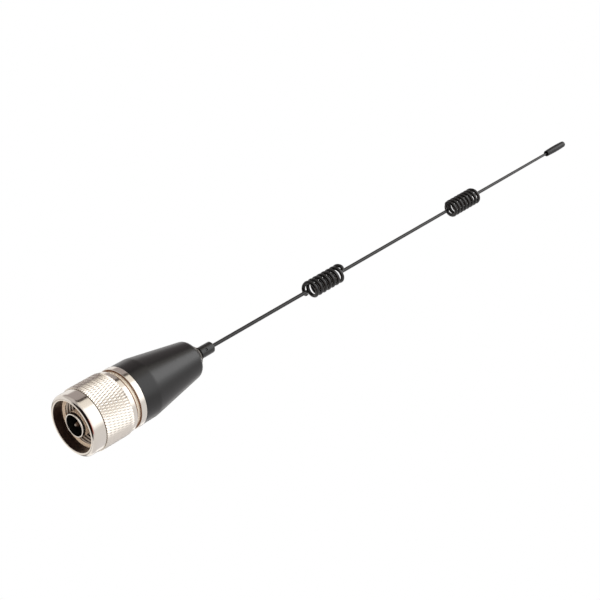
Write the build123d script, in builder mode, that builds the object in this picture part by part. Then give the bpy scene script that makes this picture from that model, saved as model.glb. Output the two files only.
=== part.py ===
from build123d import *
from math import cos, pi, radians, sin, tan
import os

# A coaxial plug with a tapered boot and a thin whip aerial that has two phasing coils.
# The origin is on the axis, in the mouth plane of the coupling nut. +Z runs up the whip.
# The axis is vertical, so the antenna stands on the nut's rim.

# Coupling nut, outside
nut_mouth_wall = 1.6
nut_rim_flat = 0.25
nut_knurl_height = 0.4
nut_front_band = 4.8
nut_knurl_length = 10.4
nut_rear_band = 1.8
nut_edge_chamfer = 0.25

# Coupling nut, inside: 5/8-24 UNEF thread behind a plain counterbore
counterbore_depth = 3.55
counterbore_step = 1.05
thread_minor_diameter = 14.9
thread_length = 6.6
thread_lead_in = 0.35
thread_relief_depth = 0.8
relief_length = 1.1

# Turned connector body: sleeve, barrel, neck, collar and a tail inside the boot
sleeve_outer_diameter = 8.1
sleeve_wall = 0.55
sleeve_root_step = 0.35
sleeve_setback = 0.85
sleeve_taper_length = 0.7
sleeve_taper_depth = 0.2
barrel_step = 0.1
neck_depth = 0.8
neck_length = 1.35
collar_step = 0.1
collar_length = 2.1
collar_chamfer = 0.2
tail_length = 6.8
tail_wall = 2.0
tail_floor = 1.6

# Snap ring that holds the nut on the barrel
ring_stand_out = 0.6
ring_thickness = 0.8
ring_groove_depth = 0.9
ring_gap_angle = 40
ring_height = 2.2

# Gasket in front of the barrel
gasket_thickness = 0.9

# Centre contact, its insulator and the bush behind it
pin_tip_height = 1.55
pin_diameter = 1.6
pin_point_diameter = 0.9
pin_point_length = 1.3
pin_body_diameter = 3.0
pin_body_lead = 0.3
pin_shoulder_diameter = 4.0
pin_cup_diameter = 2.0
pin_cup_length = 3.6
pin_cup_depth = 2.5
insulator_stand_out = 1.2
insulator_seat_depth = 4.9
insulator_nose_length = 2.6
insulator_length = 7.3
insulator_step_width = 0.67
bush_length = 1.5
bush_bore_clearance = 0.2

# Moulded boot
boot_foot_diameter = 20.0
boot_crease_draft = 0.1
boot_crease_rise = 6.0
boot_length = 29.9
boot_shoulder_diameter = 11.1
boot_shoulder_radius = 3.2
boot_foot_rounding = 0.3
boot_foot_wall = 1.4
boot_wall = 1.5
boot_end_thickness = 8.0
boot_cap_thickness = 1.1

# Brass insert in the boot's end
insert_diameter = 5.2
insert_flange_step = 0.7
insert_flange_thickness = 1.0
insert_floor = 0.4
solder_hole_depth = 1.5

# Whip holder that screws into the insert
stud_step = 0.3
stud_end_clearance = 0.5
holder_diameter = 3.6
holder_length = 6.85
holder_chamfer = 0.5
holder_socket_depth = 5.3
crimp_mark_diameter = 0.9
crimp_mark_depth = 0.3
crimp_mark_rise = 3.15
washer_stand_out = 0.25
washer_thickness = 0.5
washer_edge_flat = 0.04

# Feed rod from the centre contact to the insert
feed_rod_diameter = 1.0

# Whip wire, thick at the foot and thin at the tip
foot_wire_diameter = 1.05
upper_wire_diameter = 0.9
tip_wire_diameter = 0.8
lower_straight_length = 46.7
middle_straight_length = 63.2
upper_straight_length = 49.7
coil_outer_diameter = 6.3
lower_coil_length = 16.5
lower_coil_turns = 7.5
lower_coil_azimuth = 70
upper_coil_length = 16.6
upper_coil_turns = 8
upper_coil_azimuth = 105
coil_corners_per_turn = 6
coil_straight_share = 0.06
coil_lead = 3.0

# Cap on the whip's tip
cap_length = 12.9
cap_diameter = 2.54
cap_mouth_diameter = 2.2
cap_end_diameter = 2.2
cap_end_rounding = 0.8
cap_mouth_rounding = 0.2
cap_mouth_sink = 0.6
cap_bore_depth = 8.0
cap_bore_clearance = 0.07

# Clearances, all of them radial or along the axis
running_clearance = 0.1
loose_clearance = 0.3
fitted_clearance = 0.02
groove_side_clearance = 0.1

# Heights that follow from the lengths above
nut_length = nut_front_band + nut_knurl_length + nut_rear_band
thread_end = counterbore_depth + thread_length
relief_end = thread_end + relief_length
neck_foot = nut_length + loose_clearance
collar_foot = neck_foot + neck_length
boot_foot = collar_foot + collar_length
tail_end = boot_foot + tail_length
barrel_front = relief_end - loose_clearance
ring_foot = barrel_front + ring_height
insulator_front = barrel_front - insulator_stand_out
insulator_rear = insulator_front + insulator_length
insulator_step = insulator_front + insulator_nose_length
bush_rear = insulator_rear + bush_length
tail_floor_height = bush_rear + tail_floor
pin_body_front = insulator_front - pin_body_lead
pin_shoulder_front = insulator_front + insulator_seat_depth
pin_shoulder_rear = insulator_rear + loose_clearance
pin_rear = pin_shoulder_rear + pin_cup_length
sleeve_root_front = barrel_front - gasket_thickness - running_clearance
feed_rod_foot = pin_rear - pin_cup_depth
boot_crease = boot_foot + boot_crease_rise
boot_top = boot_foot + boot_length
boot_cavity_top = boot_top - boot_end_thickness
insert_top = boot_top - boot_cap_thickness
insert_foot = boot_cavity_top - insert_flange_thickness
feed_rod_top = insert_foot + solder_hole_depth
insert_bore_floor = feed_rod_top + insert_floor
stud_end = insert_bore_floor + stud_end_clearance
washer_top = boot_top + washer_thickness
holder_top = washer_top + holder_length
whip_foot = holder_top - holder_socket_depth
lower_coil_foot = holder_top + lower_straight_length
lower_coil_top = lower_coil_foot + lower_coil_length
upper_coil_foot = lower_coil_top + middle_straight_length
upper_coil_top = upper_coil_foot + upper_coil_length
cap_foot = upper_coil_top + upper_straight_length
cap_top = cap_foot + cap_length
whip_top = cap_foot + cap_bore_depth

# Radii that fit one piece to another
thread_minor_radius = thread_minor_diameter / 2
thread_relief_radius = thread_minor_radius + thread_relief_depth
counterbore_radius = thread_minor_radius + counterbore_step
nut_band_radius = counterbore_radius + nut_mouth_wall
nut_knurl_radius = nut_band_radius + nut_knurl_height
barrel_radius = thread_minor_radius + barrel_step
nut_bore_radius = barrel_radius + running_clearance
ring_outer_radius = barrel_radius + ring_stand_out
ring_groove_radius = barrel_radius - ring_groove_depth
ring_inner_radius = ring_groove_radius + groove_side_clearance
sleeve_bore_radius = sleeve_outer_diameter / 2 - sleeve_wall
sleeve_root_radius = sleeve_outer_diameter / 2 + sleeve_root_step
gasket_inner_radius = sleeve_root_radius + running_clearance
gasket_outer_radius = thread_minor_radius - loose_clearance
insulator_nose_radius = sleeve_bore_radius - fitted_clearance
insulator_radius = insulator_nose_radius + insulator_step_width
body_bore_radius = insulator_radius + fitted_clearance
boot_foot_radius = boot_foot_diameter / 2
boot_crease_radius = boot_foot_radius - boot_crease_draft
boot_bore_radius = boot_foot_radius - boot_foot_wall
collar_radius = boot_foot_radius + collar_step
neck_radius = collar_radius - neck_depth
tail_radius = boot_bore_radius - running_clearance
tail_bore_radius = tail_radius - tail_wall
bush_bore_radius = pin_shoulder_diameter / 2 + bush_bore_clearance
feed_hole_radius = feed_rod_diameter / 2 + fitted_clearance
holder_radius = holder_diameter / 2
stud_radius = holder_radius - stud_step
stud_hole_radius = stud_radius + fitted_clearance
washer_radius = holder_radius + washer_stand_out
insert_radius = insert_diameter / 2
insert_flange_radius = insert_radius + insert_flange_step


def coil_corners(foot, length, turns, azimuth, wire_diameter):
    """Corner points of a coil's wire: up the axis, out to the first turn, round, and back in."""
    winding_radius = (coil_outer_diameter - wire_diameter) / 2
    corner_radius = winding_radius / cos(pi / coil_corners_per_turn)
    steps = round(turns * coil_corners_per_turn)
    corners = [(0, 0, foot - coil_lead), (0, 0, foot)]
    for step in range(steps + 1):
        angle = radians(azimuth) + 2 * pi * step / coil_corners_per_turn
        height = foot + length * step / steps
        corners.append((corner_radius * cos(angle), corner_radius * sin(angle), height))
    corners += [(0, 0, foot + length), (0, 0, foot + length + coil_lead)]
    return corners


def bend_radii(corners):
    """Radius of the wire's bend at each inner corner, as large as the two runs beside it allow."""
    radii = []
    for before, corner, after in zip(corners, corners[1:], corners[2:]):
        run_in = Vector(*corner) - Vector(*before)
        run_out = Vector(*after) - Vector(*corner)
        half_turn = radians(run_in.get_angle(run_out)) / 2
        bend_share = (1 - coil_straight_share) / 2
        radii.append(bend_share * min(run_in.length, run_out.length) / tan(half_turn))
    return radii


os.makedirs("parts", exist_ok=True)

# Coupling nut: one turned ring, widest over the knurled grip
with BuildPart() as coupling_nut:
    with BuildSketch(Plane.XZ):
        with BuildLine():
            Polyline(
                (counterbore_radius, 0),
                (counterbore_radius, counterbore_depth),
                (thread_minor_radius, counterbore_depth + thread_lead_in),
                (thread_minor_radius, thread_end),
                (thread_relief_radius, thread_end),
                (thread_relief_radius, relief_end),
                (nut_bore_radius, relief_end),
                (nut_bore_radius, nut_length),
                (nut_band_radius, nut_length),
                (nut_band_radius, nut_length - nut_rear_band),
                (nut_knurl_radius, nut_length - nut_rear_band),
                (nut_knurl_radius, nut_front_band),
                (nut_band_radius, nut_front_band),
                (nut_band_radius, 0),
                close=True,
            )
        make_face()
    revolve(axis=Axis.Z)
    with BuildSketch(Plane.XY.offset(ring_foot - loose_clearance)):
        Circle(ring_outer_radius + loose_clearance)
    extrude(amount=ring_thickness + 2 * loose_clearance, mode=Mode.SUBTRACT)
    rims = coupling_nut.edges().filter_by(GeomType.CIRCLE)
    fillet(rims.group_by(Axis.Z)[0].sort_by(SortBy.RADIUS)[-1], nut_mouth_wall - nut_rim_flat)
    rims = coupling_nut.edges().filter_by(GeomType.CIRCLE)
    chamfer(rims.filter_by(lambda rim: abs(rim.radius - nut_knurl_radius) < 0.001), nut_edge_chamfer)
    rims = coupling_nut.edges().filter_by(GeomType.CIRCLE)
    chamfer(rims.group_by(Axis.Z)[-1].sort_by(SortBy.RADIUS)[-1], nut_edge_chamfer)
coupling_nut.part.label = "coupling_nut"

# Connector body: one turned piece from the outer contact sleeve to the tail in the boot
with BuildPart() as connector_body:
    with BuildSketch(Plane.XZ):
        with BuildLine():
            Polyline(
                (sleeve_bore_radius, sleeve_setback),
                (sleeve_outer_diameter / 2 - sleeve_taper_depth, sleeve_setback),
                (sleeve_outer_diameter / 2, sleeve_setback + sleeve_taper_length),
                (sleeve_outer_diameter / 2, sleeve_root_front),
                (sleeve_root_radius, sleeve_root_front),
                (sleeve_root_radius, barrel_front),
                (barrel_radius, barrel_front),
                (barrel_radius, neck_foot),
                (neck_radius, neck_foot),
                (neck_radius, collar_foot),
                (collar_radius, collar_foot),
                (collar_radius, boot_foot),
                (tail_radius, boot_foot),
                (tail_radius, tail_end),
                (tail_bore_radius, tail_end),
                (tail_bore_radius, tail_floor_height),
                (body_bore_radius, tail_floor_height),
                (body_bore_radius, insulator_step),
                (sleeve_bore_radius, insulator_step),
                close=True,
            )
        make_face()
    revolve(axis=Axis.Z)
    groove_foot = ring_foot - groove_side_clearance
    with BuildSketch(Plane.XY.offset(groove_foot)):
        Circle(barrel_radius)
        Circle(ring_groove_radius, mode=Mode.SUBTRACT)
    extrude(amount=ring_thickness + 2 * groove_side_clearance, mode=Mode.SUBTRACT)
    rims = connector_body.edges().filter_by(GeomType.CIRCLE)
    chamfer(rims.filter_by(lambda rim: abs(rim.radius - collar_radius) < 0.001), collar_chamfer)
connector_body.part.label = "connector_body"

# Snap ring: split so that it springs into the barrel's groove
with BuildPart() as snap_ring:
    with BuildSketch(Plane.XY.offset(ring_foot)):
        Circle(ring_outer_radius)
        Circle(ring_inner_radius, mode=Mode.SUBTRACT)
        with BuildLine(Plane.XY.offset(ring_foot)):
            reach = 2 * ring_outer_radius
            half_gap = radians(ring_gap_angle / 2)
            Polyline(
                (0, 0),
                (reach * cos(half_gap), reach * sin(half_gap)),
                (reach * cos(half_gap), -reach * sin(half_gap)),
                close=True,
            )
        make_face(mode=Mode.SUBTRACT)
    extrude(amount=ring_thickness)
snap_ring.part.label = "snap_ring"

# Gasket: flat ring round the sleeve, against the barrel's front face
with BuildPart() as face_gasket:
    with BuildSketch(Plane.XY.offset(barrel_front - gasket_thickness)):
        Circle(gasket_outer_radius)
        Circle(gasket_inner_radius, mode=Mode.SUBTRACT)
    extrude(amount=gasket_thickness)
face_gasket.part.label = "face_gasket"

# Insulator: stepped bead that centres the contact in the body
with BuildPart() as insulator:
    with BuildSketch(Plane.XZ):
        with BuildLine():
            Polyline(
                (pin_body_diameter / 2 + fitted_clearance, insulator_front),
                (insulator_nose_radius, insulator_front),
                (insulator_nose_radius, insulator_step),
                (insulator_radius, insulator_step),
                (insulator_radius, insulator_rear),
                (pin_shoulder_diameter / 2 + fitted_clearance, insulator_rear),
                (pin_shoulder_diameter / 2 + fitted_clearance, pin_shoulder_front),
                (pin_body_diameter / 2 + fitted_clearance, pin_shoulder_front),
                close=True,
            )
        make_face()
    revolve(axis=Axis.Z)
insulator.part.label = "insulator"

# Bush: pressed in behind the insulator
with BuildPart() as insulator_bush:
    with BuildSketch(Plane.XY.offset(insulator_rear)):
        Circle(insulator_radius)
        Circle(bush_bore_radius, mode=Mode.SUBTRACT)
    extrude(amount=bush_length)
insulator_bush.part.label = "insulator_bush"

# Centre contact: pointed pin, thicker body, a shoulder against the insulator and a solder cup
with BuildPart() as centre_pin:
    with BuildSketch(Plane.XZ):
        with BuildLine():
            Polyline(
                (0, pin_tip_height),
                (pin_point_diameter / 2, pin_tip_height),
                (pin_diameter / 2, pin_tip_height + pin_point_length),
                (pin_diameter / 2, pin_body_front),
                (pin_body_diameter / 2, pin_body_front),
                (pin_body_diameter / 2, pin_shoulder_front),
                (pin_shoulder_diameter / 2, pin_shoulder_front),
                (pin_shoulder_diameter / 2, pin_shoulder_rear),
                (pin_cup_diameter / 2, pin_shoulder_rear),
                (pin_cup_diameter / 2, pin_rear),
                (feed_hole_radius, pin_rear),
                (feed_hole_radius, feed_rod_foot),
                (0, feed_rod_foot),
                close=True,
            )
        make_face()
    revolve(axis=Axis.Z)
centre_pin.part.label = "centre_pin"

# Feed rod: soldered into the contact's cup and into the insert
with BuildPart() as feed_rod:
    with BuildSketch(Plane.XY.offset(feed_rod_foot)):
        Circle(feed_rod_diameter / 2)
    extrude(amount=feed_rod_top - feed_rod_foot)
feed_rod.part.label = "feed_rod"

# Boot: hollow moulding, straight at the foot, tapered above the crease, with a round shoulder
cavity_crease_radius = boot_crease_radius - boot_wall
cavity_slope = (boot_crease_radius - boot_shoulder_diameter / 2) / (boot_top - boot_crease)
cavity_top_radius = cavity_crease_radius - cavity_slope * (boot_cavity_top - tail_end)
with BuildPart() as boot:
    with BuildSketch(Plane.XZ):
        with BuildLine():
            Polyline(
                (boot_bore_radius, boot_foot),
                (boot_foot_radius, boot_foot),
                (boot_crease_radius, boot_crease),
                (boot_shoulder_diameter / 2, boot_top),
                (stud_hole_radius, boot_top),
                (stud_hole_radius, insert_top),
                (insert_radius + fitted_clearance, insert_top),
                (insert_radius + fitted_clearance, boot_cavity_top),
                (cavity_top_radius, boot_cavity_top),
                (cavity_crease_radius, tail_end),
                (boot_bore_radius, tail_end),
                close=True,
            )
        make_face()
    revolve(axis=Axis.Z)
    rims = boot.edges().filter_by(GeomType.CIRCLE)
    fillet(rims.group_by(Axis.Z)[-1].sort_by(SortBy.RADIUS)[-1], boot_shoulder_radius)
    rims = boot.edges().filter_by(GeomType.CIRCLE)
    fillet(rims.group_by(Axis.Z)[0].sort_by(SortBy.RADIUS)[-1], boot_foot_rounding)
boot.part.label = "boot"

# Threaded insert: seated on its flange in the boot's thick end
with BuildPart() as boot_insert:
    with BuildSketch(Plane.XZ):
        with BuildLine():
            Polyline(
                (feed_hole_radius, insert_foot),
                (insert_flange_radius, insert_foot),
                (insert_flange_radius, boot_cavity_top),
                (insert_radius, boot_cavity_top),
                (insert_radius, insert_top),
                (stud_hole_radius, insert_top),
                (stud_hole_radius, insert_bore_floor),
                (0, insert_bore_floor),
                (0, feed_rod_top),
                (feed_hole_radius, feed_rod_top),
                close=True,
            )
        make_face()
    revolve(axis=Axis.Z)
boot_insert.part.label = "boot_insert"

# Washer: rubber ring between the boot and the whip holder
with BuildPart() as holder_washer:
    with BuildSketch(Plane.XY.offset(boot_top)):
        Circle(washer_radius)
        Circle(stud_hole_radius, mode=Mode.SUBTRACT)
    extrude(amount=washer_thickness)
    rims = holder_washer.edges().filter_by(GeomType.CIRCLE)
    washer_rounding = (washer_thickness - washer_edge_flat) / 2
    fillet(rims.filter_by(lambda rim: abs(rim.radius - washer_radius) < 0.001), washer_rounding)
holder_washer.part.label = "holder_washer"

# Whip holder: short sleeve with a stud below and a socket for the wire above
with BuildPart() as whip_holder:
    with BuildSketch(Plane.XY.offset(stud_end)):
        Circle(stud_radius)
    extrude(amount=washer_top - stud_end)
    with BuildSketch(Plane.XY.offset(washer_top)):
        Circle(holder_radius)
    extrude(amount=holder_length)
    chamfer(whip_holder.edges().group_by(Axis.Z)[-1], holder_chamfer)
    with BuildSketch(Plane.XY.offset(holder_top)):
        Circle(foot_wire_diameter / 2 + fitted_clearance)
    extrude(amount=-holder_socket_depth, mode=Mode.SUBTRACT)
    crimp_mark_height = washer_top + crimp_mark_rise
    with BuildSketch(Plane.XZ.offset(holder_radius)):
        with Locations((0, crimp_mark_height)):
            Circle(crimp_mark_diameter / 2)
    extrude(amount=-crimp_mark_depth, mode=Mode.SUBTRACT)
whip_holder.part.label = "whip_holder"

# Whip: one wire, bent into two coils and drawn thinner towards the tip
coils = (
    (lower_coil_foot, lower_coil_length, lower_coil_turns, lower_coil_azimuth, foot_wire_diameter),
    (upper_coil_foot, upper_coil_length, upper_coil_turns, upper_coil_azimuth, upper_wire_diameter),
)
straights = (
    (whip_foot, lower_coil_foot - coil_lead, foot_wire_diameter, foot_wire_diameter),
    (lower_coil_top + coil_lead, upper_coil_foot - coil_lead, foot_wire_diameter, upper_wire_diameter),
    (upper_coil_top + coil_lead, whip_top, upper_wire_diameter, tip_wire_diameter),
)
with BuildPart() as whip:
    for foot, top, foot_diameter, top_diameter in straights:
        with BuildSketch(Plane.XY.offset(foot)):
            Circle(foot_diameter / 2)
        with BuildSketch(Plane.XY.offset(top)):
            Circle(top_diameter / 2)
        loft()
    for foot, length, turns, azimuth, wire_diameter in coils:
        corners = coil_corners(foot, length, turns, azimuth, wire_diameter)
        with BuildLine() as coil_path:
            FilletPolyline(*corners, radius=bend_radii(corners))
        with BuildSketch(Plane.XY.offset(foot - coil_lead)):
            Circle(wire_diameter / 2)
        sweep(path=coil_path.line)
whip.part.label = "whip"

# Tip cap: soft cap with a blind bore over the wire's end
with BuildPart() as tip_cap:
    with BuildSketch(Plane.XZ):
        with BuildLine():
            ThreePointArc(
                (cap_mouth_diameter / 2, cap_foot),
                (cap_diameter / 2, cap_foot + cap_length / 2),
                (cap_end_diameter / 2, cap_top),
            )
            Polyline(
                (cap_end_diameter / 2, cap_top),
                (0, cap_top),
                (0, cap_foot),
                (cap_mouth_diameter / 2, cap_foot),
            )
        make_face()
    revolve(axis=Axis.Z)
    rims = tip_cap.edges().filter_by(GeomType.CIRCLE)
    fillet(rims.group_by(Axis.Z)[-1], cap_end_rounding)
    rims = tip_cap.edges().filter_by(GeomType.CIRCLE)
    fillet(rims.group_by(Axis.Z)[0], cap_mouth_rounding)
    tip_bore_radius = tip_wire_diameter / 2 + cap_bore_clearance
    with Locations(Plane.XY.offset(cap_foot + cap_bore_depth)):
        Cylinder(
            tip_bore_radius,
            cap_bore_depth,
            align=(Align.CENTER, Align.CENTER, Align.MAX),
            mode=Mode.SUBTRACT,
        )
    with Locations(Plane.XY.offset(cap_foot)):
        Cone(
            tip_bore_radius + cap_mouth_sink / 2,
            tip_bore_radius,
            cap_mouth_sink,
            align=(Align.CENTER, Align.CENTER, Align.MIN),
            mode=Mode.SUBTRACT,
        )
tip_cap.part.label = "tip_cap"

for piece in (
    coupling_nut,
    connector_body,
    snap_ring,
    face_gasket,
    insulator,
    insulator_bush,
    centre_pin,
    feed_rod,
    boot,
    boot_insert,
    holder_washer,
    whip_holder,
    whip,
    tip_cap,
):
    export_step(piece.part, f"parts/{piece.part.label}.step")
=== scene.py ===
import logging
from dataclasses import dataclass, field
from enum import Enum
from math import atan2, cos, hypot, pi, radians, sin
from typing import Any, NamedTuple, Sequence

import bmesh
import bpy
from mathutils import Euler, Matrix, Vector


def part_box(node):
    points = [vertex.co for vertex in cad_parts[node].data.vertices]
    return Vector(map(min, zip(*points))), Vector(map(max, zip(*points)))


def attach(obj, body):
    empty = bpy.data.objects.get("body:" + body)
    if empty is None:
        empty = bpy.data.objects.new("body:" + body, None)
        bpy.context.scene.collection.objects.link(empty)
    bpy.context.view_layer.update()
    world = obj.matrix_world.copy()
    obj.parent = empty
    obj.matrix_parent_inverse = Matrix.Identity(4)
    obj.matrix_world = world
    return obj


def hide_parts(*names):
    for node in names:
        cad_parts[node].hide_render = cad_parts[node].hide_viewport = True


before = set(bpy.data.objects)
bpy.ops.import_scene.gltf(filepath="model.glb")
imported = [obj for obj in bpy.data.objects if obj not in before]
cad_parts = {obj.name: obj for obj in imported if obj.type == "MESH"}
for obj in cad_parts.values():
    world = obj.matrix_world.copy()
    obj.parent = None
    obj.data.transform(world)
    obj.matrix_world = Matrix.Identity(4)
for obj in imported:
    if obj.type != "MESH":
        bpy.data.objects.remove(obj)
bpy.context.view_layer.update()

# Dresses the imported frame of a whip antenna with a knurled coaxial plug.
# Sizes here are in millimetres. MM turns them into the frame's metres.
# +Z runs up the whip and the origin is in the mouth plane of the coupling nut.

MM = 0.001
TURNED_STEPS = 144
SMALL_STEPS = 48
SHARP_ANGLE = radians(38)
SMOOTH_SEGMENTS = 4
TOUCH = 0.001
# Margin by which a painted ring clears the faces beside it
CLEAR = 0.05
# Clouds of tone are this many times as wide as the grit, and each noise has its own detail
CLOUD_PER_GRAIN = 8
CLOUD_DETAIL = 3.0
GRIT_DETAIL = 2.0
RING_DETAIL = 1.0

log = logging.getLogger("whip_antenna")


class Body(Enum):
    """The two bodies of the frame that a piece can ride on."""

    ANTENNA = "antenna"
    NUT = "nut"


class Corner(NamedTuple):
    """One corner of a turned profile, with the length of each face that its rounding takes."""

    radius: float
    height: float
    rounding: float = 0.0
    segments: int = 3


def linear(hex_colour: str, alpha: float = 1.0) -> tuple[float, float, float, float]:
    """Turns an sRGB hex colour into linear light.

    Args:
        hex_colour: Six hex digits after a hash.
        alpha: Opacity from 0 to 1.

    Returns:
        Red, green, blue and alpha for a shader's socket.
    """
    parts = [int(hex_colour[i : i + 2], 16) / 255 for i in (1, 3, 5)]
    red, green, blue = ((p / 12.92) if p <= 0.04045 else ((p + 0.055) / 1.055) ** 2.4 for p in parts)
    return (red, green, blue, alpha)


def add_node(
    tree: bpy.types.NodeTree, kind: str, links: dict[Any, Any] | None = None, **settings: Any
) -> bpy.types.Node:
    """Adds one node with its settings, its input values and its links.

    Args:
        tree: The node tree to add to.
        kind: Blender's name of the node type.
        links: Input names or numbers, each with the output socket or the constant that feeds it.
        **settings: Attributes of the node, such as operation or data_type.

    Returns:
        The new node.
    """
    node = tree.nodes.new(kind)
    for name, value in settings.items():
        setattr(node, name, value)
    for name, source in (links or {}).items():
        if isinstance(source, bpy.types.NodeSocket):
            tree.links.new(source, node.inputs[name])
        else:
            node.inputs[name].default_value = source
    return node


def set_stops(ramp: bpy.types.ColorRamp, stops: Sequence[tuple[float, str]]) -> None:
    """Gives a colour ramp its stops.

    Args:
        ramp: The ramp of a Color Ramp node.
        stops: Position from 0 to 1 and hex colour of each stop, in order.
    """
    while len(ramp.elements) > 1:
        ramp.elements.remove(ramp.elements[-1])
    ramp.elements[0].position = stops[0][0]
    ramp.elements[0].color = linear(stops[0][1])
    for position, colour in stops[1:]:
        ramp.elements.new(position).color = linear(colour)


def grain_noise(
    tree: bpy.types.NodeTree, place: bpy.types.NodeSocket, size: float, detail: float
) -> bpy.types.NodeSocket:
    """Adds noise of a real size.

    Args:
        tree: The material's tree.
        place: Object coordinates.
        size: Width of its patches, in millimetres.
        detail: Finer steps that it holds.

    Returns:
        The noise, about 0.5 in the middle.
    """
    links = {"Vector": place, "Scale": 1 / (size * MM), "Detail": detail}
    return add_node(tree, "ShaderNodeTexNoise", links).outputs["Fac"]


@dataclass(frozen=True)
class Finish:
    """A finish: one colour pair, a roughness pair and a relief, all driven by grain of a real size."""

    name: str
    colour: str
    worn_colour: str
    metallic: float
    roughness: float
    roughness_spread: float
    grain: float
    relief: float
    ring_spacing: float = 0.0
    ring_relief: float = 0.0
    ior: float = 1.5

    def build(self) -> bpy.types.Material:
        """Makes the material, once, and returns it."""
        made = bpy.data.materials.get(self.name)
        if made is not None:
            return made
        material = bpy.data.materials.new(self.name)
        material.use_nodes = True
        tree = material.node_tree
        shader = tree.nodes["Principled BSDF"]
        shader.inputs["Metallic"].default_value = self.metallic
        shader.inputs["IOR"].default_value = self.ior
        place = add_node(tree, "ShaderNodeTexCoord").outputs["Object"]
        cloud = grain_noise(tree, place, CLOUD_PER_GRAIN * self.grain, CLOUD_DETAIL)
        grit = grain_noise(tree, place, self.grain, GRIT_DETAIL)
        tone = add_node(tree, "ShaderNodeMix", {0: cloud}, data_type="RGBA")
        clean, worn = [socket for socket in tone.inputs if socket.type == "RGBA"]
        clean.default_value = linear(self.colour)
        worn.default_value = linear(self.worn_colour)
        gloss = add_node(
            tree,
            "ShaderNodeMapRange",
            {
                "Value": grit,
                "To Min": self.roughness - self.roughness_spread,
                "To Max": self.roughness + self.roughness_spread,
            },
        )
        normal = add_node(
            tree,
            "ShaderNodeBump",
            {"Height": grit, "Strength": 1.0, "Distance": self.relief * MM},
        ).outputs["Normal"]
        if self.ring_spacing:
            normal = self._turning_marks(tree, place, normal)
        colour = next(socket for socket in tone.outputs if socket.type == "RGBA")
        tree.links.new(colour, shader.inputs["Base Color"])
        tree.links.new(gloss.outputs["Result"], shader.inputs["Roughness"])
        tree.links.new(normal, shader.inputs["Normal"])
        return material

    def _turning_marks(
        self, tree: bpy.types.NodeTree, place: bpy.types.NodeSocket, normal: bpy.types.NodeSocket
    ) -> bpy.types.NodeSocket:
        """Adds the fine rings that a lathe tool leaves.

        Args:
            tree: The material's tree.
            place: Object coordinates.
            normal: The normal that the grain gives.

        Returns:
            The normal with the rings on it.
        """
        height = add_node(tree, "ShaderNodeSeparateXYZ", {0: place}).outputs["Z"]
        rings = add_node(
            tree,
            "ShaderNodeTexNoise",
            {"W": height, "Scale": 1 / (self.ring_spacing * MM), "Detail": RING_DETAIL},
            noise_dimensions="1D",
        )
        return add_node(
            tree,
            "ShaderNodeBump",
            {
                "Height": rings.outputs["Fac"],
                "Strength": 1.0,
                "Distance": self.ring_relief * MM,
                "Normal": normal,
            },
        ).outputs["Normal"]


# Real lathe rings are about 0.05 mm apart, too fine to show, so they are drawn further apart.
RING_SPACING = 0.3
# Bright nickel plate over turned brass: a warm mirror with faint lathe rings.
NICKEL = Finish(
    "nickel_plate_turned", "#e9e4dc", "#e3dcd3", 1.0, 0.14, 0.03, 0.6, 0.002, RING_SPACING, 0.0016
)
# The same plate over cut knurling: a little duller.
NICKEL_KNURLED = Finish("nickel_plate_knurled", "#ebe5dd", "#e3dbd1", 1.0, 0.2, 0.04, 0.4, 0.004)
# Plate on the nut's inner thread: a darker, rougher copy of the outer plate, the darker tone being painted
# shade inside the bore.
NICKEL_INNER = Finish("nickel_plate_bore", "#c9bcae", "#b8a999", 1.0, 0.24, 0.06, 0.4, 0.004)
# Contact plating on the centre pin's point: a thin plate, painted lighter as a highlight on the point in the
# mouth.
CONTACT_POINT = Finish("contact_plate_point", "#9c9188", "#8c8176", 0.45, 0.34, 0.05, 0.3, 0.002)
# The same plate on the shank, darker brown: the plate's own tone with painted shade for the shank deep in the
# sleeve.
CONTACT = Finish("contact_plate_pin", "#6e5646", "#5e4838", 0.35, 0.34, 0.05, 0.3, 0.002)
# Spring bronze, as rolled.
BRONZE = Finish("spring_bronze_rolled", "#a9784a", "#93663c", 1.0, 0.34, 0.06, 0.5, 0.004)
# Brass, turned and left bare.
BRASS = Finish("brass_turned", "#cfae6c", "#bd9a58", 1.0, 0.28, 0.05, 0.4, 0.003, RING_SPACING, 0.002)
# Counterbore of the nut: plate painted dark brown, as painted shade inside the mouth where little light gets
# in.
BORE_SHADE = Finish("painted_shade_plate_bore", "#3d2c26", "#2e211d", 0.5, 0.3, 0.06, 0.4, 0.004)
# Bore of the sleeve, and its front behind the lip: painted shade, darker still, and neutral.
SLEEVE_SHADE = Finish("painted_shade_plate_sleeve", "#232322", "#1a1a19", 0.5, 0.35, 0.06, 0.4, 0.004)
# Warm cream matt plate in the mouth, on the sleeve and on the bore's step: a painted reflection in place of
# the mirror plate; it scatters the light that comes in.
REFLECTION_PLATE = Finish("painted_reflection_warm_plate", "#ffe7cd", "#fbdfc3", 0.0, 0.6, 0.03, 0.4, 0.0)
# Neck between nut and collar: plate made light cream and partly matt, a painted reflection in the narrow gap.
NECK_REFLECTION = Finish("painted_reflection_plate_neck", "#f3e8d6", "#e8dac4", 0.25, 0.3, 0.05, 0.4, 0.003)
# Front corner of the neck and the collar's front: brown painted shade in the gap between nut and collar.
NECK_SHADE = Finish("painted_shade_neck", "#8a6043", "#6f4a33", 0.5, 0.4, 0.05, 0.3, 0.003)
# Silicone gasket: dull, dark reddish brown.
SILICONE = Finish("silicone_gasket", "#2a1411", "#1f0f0d", 0.0, 0.62, 0.06, 0.3, 0.01, ior=1.41)
# Fluoropolymer insulator: waxy off-white.
FLUOROPOLYMER = Finish("fluoropolymer_turned", "#e7e5df", "#dddad2", 0.0, 0.42, 0.04, 0.5, 0.003, ior=1.38)
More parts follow.
